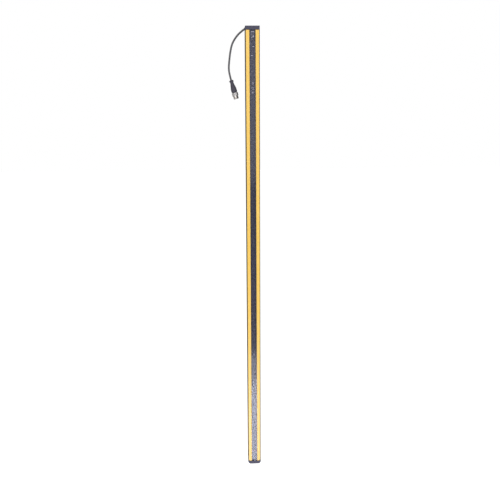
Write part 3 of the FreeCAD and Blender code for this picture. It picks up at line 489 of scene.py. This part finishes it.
slotOf = {row["node"]: row["material_slot"] for row in frame["record"]["subparts"]}
for nodeName, node in frame["nodes"].items():
    for holder in node.material_slots:
        holder.material = materials[slotOf[nodeName]]
pigtail.data.materials.append(materials["cable"])
print("finishes on", len(slotOf), "nodes")


def paint(piece, slot):
    piece.data.materials.clear()
    piece.data.materials.append(materials[slot])


stage = {"floorDrop": 0.35, "floorSize": 24.0, "floorGlow": 0.75, "ambient": 0.42}


def paleShare(tree):
    # 1 for the kinds of ray that see the pale background
    path = addNode(tree, "ShaderNodeLightPath")
    either = addNode(tree, "ShaderNodeMath", operation="MAXIMUM")
    tree.links.new(path.outputs["Is Camera Ray"], either.inputs[0])
    tree.links.new(path.outputs["Is Transmission Ray"], either.inputs[1])
    return either.outputs[0]


def makeStage():
    world = bpy.data.worlds.new("paleStudio")
    bpy.context.scene.world = world
    world.use_nodes = True
    tree = world.node_tree
    vary(tree, paleShare(tree), stage["ambient"], 1.0, tree.nodes["Background"].inputs["Strength"])
    tree.nodes["Background"].inputs["Color"].default_value = (1, 1, 1, 1)
    bpy.ops.mesh.primitive_plane_add(size=stage["floorSize"], location=(0, 0, 0))
    floor = named("studioFloor")
    placed(floor, Matrix.Translation((0, 0, capFoot - stage["floorDrop"])))
    material, tree, shader = newMaterial("paleFloor", (0.82, 0.82, 0.82), 0.9)
    shader.inputs["Emission Color"].default_value = (1, 1, 1, 1)
    vary(tree, paleShare(tree), 0.0, stage["floorGlow"], shader.inputs["Emission Strength"])
    floor.data.materials.append(material)


lamps = {
    "highKey": {"place": (-0.9, -2.2, 1.75), "aim": (0, 0, 0.0), "size": (1.6, 1.1), "power": 30.0},
    "sideFill": {"place": (1.9, -1.1, 0.9), "aim": (0, 0, 0.0), "size": (1.2, 1.4), "power": 12.0},
    "lowCard": {"place": (0.0, -0.73, -0.793), "aim": (0.0, -0.578, 0.195), "size": (0.24, 0.50), "power": 3.5,
                "color": (0.93, 0.95, 1.15)},
    "stepCard": {"place": (0.0, -1.09, -0.7385), "aim": (0.0, -0.938, 0.2495), "size": (0.24, 0.22), "power": 0.7,
                 "color": (0.93, 0.94, 1.10)},
    "highCard": {"place": (0.1, -2.1, 0.70), "aim": (0.0, 0.0, 0.35), "size": (0.9, 1.50), "power": 5.0,
                 "color": (0.92, 0.93, 1.05)},
}


def makeLamps():
    for name, lamp in lamps.items():
        bpy.ops.object.light_add(type="AREA", location=lamp["place"])
        light = bpy.context.object
        light.name = light.data.name = name
        light.data.shape = "RECTANGLE"
        light.data.size, light.data.size_y = lamp["size"]
        light.data.energy = lamp["power"]
        light.data.color = lamp.get("color", (1.0, 1.0, 1.0))
        way = Vector(lamp["aim"]) - Vector(lamp["place"])
        light.rotation_euler = way.to_track_quat("-Z", "Y").to_euler()
        light.visible_camera = False
        light.visible_glossy = name != "sideFill"


makeStage()
makeLamps()
print("stage and lamps")

plugJoint = frame["joints"][0]
plugAxis = Vector(plugJoint["axis"])
plugFoot = Vector(cable["route"][-1])
plugFrame = Matrix.Translation(plugFoot) @ plugAxis.to_track_quat("Z", "Y").to_matrix().to_4x4()

grip = {
    "profile": [(0, 0.02), (3.9, 0.02), (4.45, 0.25), (4.75, 0.75), (4.8, 1.3), (4.8, 2.8), (4.68, 3.4), (4.3, 3.9),
                (3.97, 4.6), (3.9, 5.4), (3.9, 6.4), (3.98, 7.3), (4.25, 8.6), (5.05, 12.4), (6.0, 16.8),
                (6.35, 18.4), (6.48, 19.6), (6.5, 20.8), (6.5, 24.6), (6.42, 25.6), (6.1, 26.5), (5.55, 27.1),
                (4.9, 27.4), (4.27, 27.48), (4.27, 21.5), (0, 21.5)],
    "steps": 48,
    "ribFoot": 9.5, "ribTop": 24.0, "ribEvery": 4, "ribDeep": 0.30, "ribInset": 0.18,
}


def makeGrip():
    piece = spun("plugGrip", grip["profile"], grip["steps"])
    wedge = 2 * math.pi / grip["steps"]

    def onRib(middle, normal):
        column = int(round(math.atan2(middle.y, middle.x) / wedge - 0.5)) % grip["ribEvery"]
        outside = normal.x * middle.x + normal.y * middle.y > 0
        return outside and grip["ribFoot"] * mm < middle.z < grip["ribTop"] * mm and column in (0, 1)

    pick(piece, "faces", onRib)
    bpy.ops.mesh.inset(thickness=grip["ribInset"] * mm)
    bpy.ops.transform.shrink_fatten(value=-grip["ribDeep"] * mm)
    objectMode()
    placed(piece, plugFrame)
    smooth(piece, 40)
    paint(piece, "grip")
    return settle(piece, "curtain", "grip", "connector_grip")


nut = {
    "steps": 72, "outside": 6.88,
    "profile": [(4.3, 27.82), (6.3, 27.82), (6.75, 28.1), (6.88, 28.5), (6.88, 34.7), (6.75, 35.1), (6.35, 35.38),
                (5.55, 35.40), (5.42, 35.7), (5.42, 41.5), (5.25, 41.95), (5.2, 41.95), (5.2, 32.6), (4.3, 32.6),
                (4.3, 27.82)],
    "knurlFrom": 6.5, "knurlFoot": 28.4, "knurlTop": 34.8, "knurlDeep": 0.30,
    "thread": {"root": 5.42, "crest": 5.97, "pitch": 1.0, "foot": 36.0, "turns": 5, "steps": 40},
}


def makeNut():
    piece = spun("plugNut", nut["profile"], nut["steps"], closed=True)
    wedge = 2 * math.pi / nut["steps"]

    def inGroove(place):
        column = int(round(math.atan2(place.y, place.x) / wedge)) % 2
        radius = math.hypot(place.x, place.y)
        between = nut["knurlFoot"] * mm < place.z < nut["knurlTop"] * mm
        return column == 1 and radius > nut["knurlFrom"] * mm and between

    pick(piece, "vertices", inGroove)
    share = 1 - nut["knurlDeep"] / nut["outside"]
    bpy.ops.transform.resize(value=(share, share, 1), center_override=(0, 0, 0))
    objectMode()
    whole = joined([piece, threadRidge("nutThread", **nut["thread"])], "plugNut")
    placed(whole, plugFrame)
    smooth(whole, 25)
    paint(whole, "nut")
    return settle(whole, "coupling_nut", "nut", "coupling_nut")


pins = {"foot": 31.4, "top": 40.4, "radius": 0.5, "circle": 2.75, "count": 4, "steps": 20}


def makePins():
    foot, top, radius = pins["foot"], pins["top"], pins["radius"]
    profile = [(0, foot), (radius, foot), (radius, top - 0.55), (radius * 0.86, top - 0.25),
               (radius * 0.55, top - 0.06), (0, top)]
    places = [(0, 0)]
    for number in range(pins["count"]):
        angle = (number + 0.5) * 2 * math.pi / pins["count"]
        places.append((pins["circle"] * math.cos(angle), pins["circle"] * math.sin(angle)))
    made = []
    for number, (x, y) in enumerate(places):
        pin = spun("pin%d" % number, profile, pins["steps"])
        placed(pin, Matrix.Translation((x * mm, y * mm, 0)))
        made.append(pin)
    whole = joined(made, "plugPins")
    placed(whole, plugFrame)
    smooth(whole, 40)
    paint(whole, "pin")
    return settle(whole, "curtain", "pin", "contact_pins")


sealRing = {"radius": 4.35, "thick": 0.44, "height": 35.05}


def makeSealRing():
    bpy.ops.mesh.primitive_torus_add(major_radius=sealRing["radius"] * mm, minor_radius=sealRing["thick"] * mm,
                                     major_segments=48, minor_segments=12, location=(0, 0, sealRing["height"] * mm))
    piece = named("plugSealRing")
    placed(piece, plugFrame)
    smooth(piece, 180)
    paint(piece, "seal")
    return settle(piece, "curtain", "seal", "sealing_ring")


plugPieces = [makeGrip(), makeNut(), makePins(), makeSealRing(), frame["nodes"]["connector_insert"]]
print("plug")

lenses = {"pitch": 10.0, "each": 17, "radius": 4.2, "rise": 0.8, "sunk": 0.2, "segments": 20, "rings": 26,
          "plate": 1.0}


def makeLenses():
    low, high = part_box("lens_strip_1")
    ball = (lenses["radius"] ** 2 + lenses["rise"] ** 2) / (2 * lenses["rise"])
    front = high.y - lenses["plate"] * mm
    bpy.ops.mesh.primitive_uv_sphere_add(segments=lenses["segments"], ring_count=lenses["rings"], radius=ball * mm,
                                         location=(0, 0, 0), rotation=(math.pi / 2, 0, 0))
    dome = named("lensDome")
    placed(dome)
    editing(dome)
    bpy.ops.mesh.select_all(action="SELECT")
    cut = (ball - lenses["rise"] - lenses["sunk"]) * mm
    bpy.ops.mesh.bisect(plane_co=(0, -cut, 0), plane_no=(0, 1, 0), clear_outer=True, use_fill=True)
    objectMode()
    lift = (ball - lenses["rise"]) * mm
    placed(dome, Matrix.Translation((0, front + lift, low.z + lenses["pitch"] * mm / 2)))
    row = dome.modifiers.new("row", "ARRAY")
    row.use_relative_offset = False
    row.use_constant_offset = True
    row.constant_offset_displace = (0, 0, lenses["pitch"] * mm)
    row.count = lenses["each"]
    applyModifiers(dome)
    bpy.ops.mesh.primitive_cube_add(size=1, location=(0, (front + high.y) / 2, (low.z + high.z) / 2),
                                    scale=(high.x - low.x, high.y - front, high.z - low.z))
    plate = named("lensPlate")
    placed(plate)
    combine(plate, dome, "UNION")
    smooth(plate, 30)
    paint(plate, "lens")
    modules = sorted(name for name in frame["nodes"] if name.startswith("lens_strip_"))
    strips = [plate]
    for name in modules[1:]:
        strip = plate.copy()
        strip.data = plate.data.copy()
        bpy.context.scene.collection.objects.link(strip)
        strips.append(strip)
    for number, (strip, name) in enumerate(zip(strips, modules), start=1):
        strip.name = strip.data.name = "lensRow%d" % number
        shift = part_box(name)[0].z - low.z
        placed(strip, Matrix.Translation((0, 0, shift)))
        settle(strip, "curtain", "lens", name)


makeLenses()
print("lens rows")

# a cap screw along its own axis, the underside of its head at height 0, in millimetres
capScrew = {
    "profile": [(0, 1.78), (1.75, 1.78), (2.05, 1.66), (2.2, 1.4), (2.23, 1.1), (2.23, 0.12), (2.15, 0.02),
                (1.22, 0.02), (1.22, -0.4), (1.05, -0.6), (1.05, -8.4), (0.75, -8.95), (0, -8.95)],
    "steps": 40, "head": 2.25, "flats": 2.0, "socketDeep": 1.1, "headTop": 1.78, "headTall": 1.8,
    "thread": {"root": 1.05, "crest": 1.22, "pitch": 0.6, "foot": -8.0, "turns": 12, "steps": 24},
}


def makeScrew():
    piece = spun("screwBlank", capScrew["profile"], capScrew["steps"])
    bpy.ops.mesh.primitive_cylinder_add(vertices=6, radius=capScrew["flats"] / math.sqrt(3) * mm,
                                        depth=2 * capScrew["socketDeep"] * mm,
                                        location=(0, 0, capScrew["headTop"] * mm))
    combine(piece, placed(named("socket")), "DIFFERENCE")
    return joined([piece, threadRidge("screwThread", **capScrew["thread"])], "screwBlank")


def makeCapScrews(node, name, outward):
    low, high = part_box(node)
    turn = identity if outward > 0 else Matrix.Rotation(math.pi, 4, "X")
    seat = high.z - capScrew["headTall"] * mm if outward > 0 else low.z + capScrew["headTall"] * mm
    made = []
    for across in (low.x + capScrew["head"] * mm, high.x - capScrew["head"] * mm):
        place = Matrix.Translation((across, (low.y + high.y) / 2, seat))
        made.append(placed(makeScrew(), place @ turn))
    whole = joined(made, name)
    smooth(whole, 35)
    paint(whole, "screw")
    return settle(whole, "curtain", "screw", node)


makeCapScrews("top_cap_screws", "topScrews", 1)
makeCapScrews("bottom_cap_screws", "bottomScrews", -1)
print("cap screws")

# pale print on the screen: (across, below the top end, wide, tall) in millimetres
marks = {
    "thick": 0.04,
    "bars": [
        (0.2, 12.4, 6.6, 1.3), (-2.4, 15.6, 1.2, 1.2), (2.4, 15.6, 1.2, 1.2), (-2.2, 19.2, 1.0, 1.0),
        (1.9, 43.8, 4.4, 1.2), (-1.5, 62.5, 4.2, 1.2), (0.4, 119.6, 2.2, 1.2), (0.4, 122.4, 3.4, 1.2),
        (-1.9, 131.0, 2.6, 1.2), (1.9, 131.0, 2.0, 1.2), (0.6, 134.2, 2.4, 1.0), (0.3, 140.0, 5.0, 0.9),
        (0.3, 142.0, 5.0, 0.9),
    ],
    "arrow": {"across": 1.5, "down": 21.8, "radius": 2.3},
    "ring": {"across": -1.9, "down": 24.6, "radius": 1.1, "wide": 0.25},
    "dots": {"across": 3.4, "radius": 0.45, "first": 34.0, "every": 10.0, "count": 12},
    "footLine": {"down": 1027.0, "wide": 13.2, "tall": 1.4},
}


def printed(across, down, shape):
    # a flat piece of print at its place on the screen's face
    face = screenFace - marks["thick"] * mm / 2
    return placed(shape, Matrix.Translation((across * mm, face, capHead - down * mm)))


def makeMarks():
    made = []
    turned = Matrix.Rotation(math.pi / 2, 4, "X")
    for across, down, wide, tall in marks["bars"]:
        bpy.ops.mesh.primitive_cube_add(size=1, location=(0, 0, 0), scale=(wide * mm, marks["thick"] * mm, tall * mm))
        made.append(printed(across, down, placed(named("bar"))))
    arrow = marks["arrow"]
    bpy.ops.mesh.primitive_cylinder_add(vertices=3, radius=arrow["radius"] * mm, depth=marks["thick"] * mm,
                                        location=(0, 0, 0))
    made.append(printed(arrow["across"], arrow["down"], placed(named("arrow"), turned)))
    ring = marks["ring"]
    bpy.ops.mesh.primitive_torus_add(major_radius=ring["radius"] * mm, minor_radius=ring["wide"] * mm,
                                     major_segments=32, minor_segments=6, location=(0, 0, 0))
    flat = Matrix.Diagonal((1, 1, marks["thick"] / (2 * ring["wide"]), 1))
    made.append(printed(ring["across"], ring["down"], placed(named("ring"), turned @ flat)))
    dots = marks["dots"]
    for number in range(dots["count"]):
        bpy.ops.mesh.primitive_cylinder_add(vertices=16, radius=dots["radius"] * mm, depth=marks["thick"] * mm,
                                            location=(0, 0, 0))
        down = dots["first"] + number * dots["every"]
        made.append(printed(dots["across"], down, placed(named("dot"), turned)))
    whole = joined(made, "screenPrint")
    smooth(whole, 30)
    paint(whole, "print")
    settle(whole, "curtain", "guide")
    line = marks["footLine"]
    bpy.ops.mesh.primitive_cube_add(size=1, location=(0, 0, 0),
                                    scale=(line["wide"] * mm, marks["thick"] * mm, line["tall"] * mm))
    foot = printed(0, line["down"], placed(named("footLine")))
    paint(foot, "footLine")
    settle(foot, "curtain", "guide")


makeMarks()
print("screen print")

bpy.context.scene.view_settings.view_transform = "Standard"
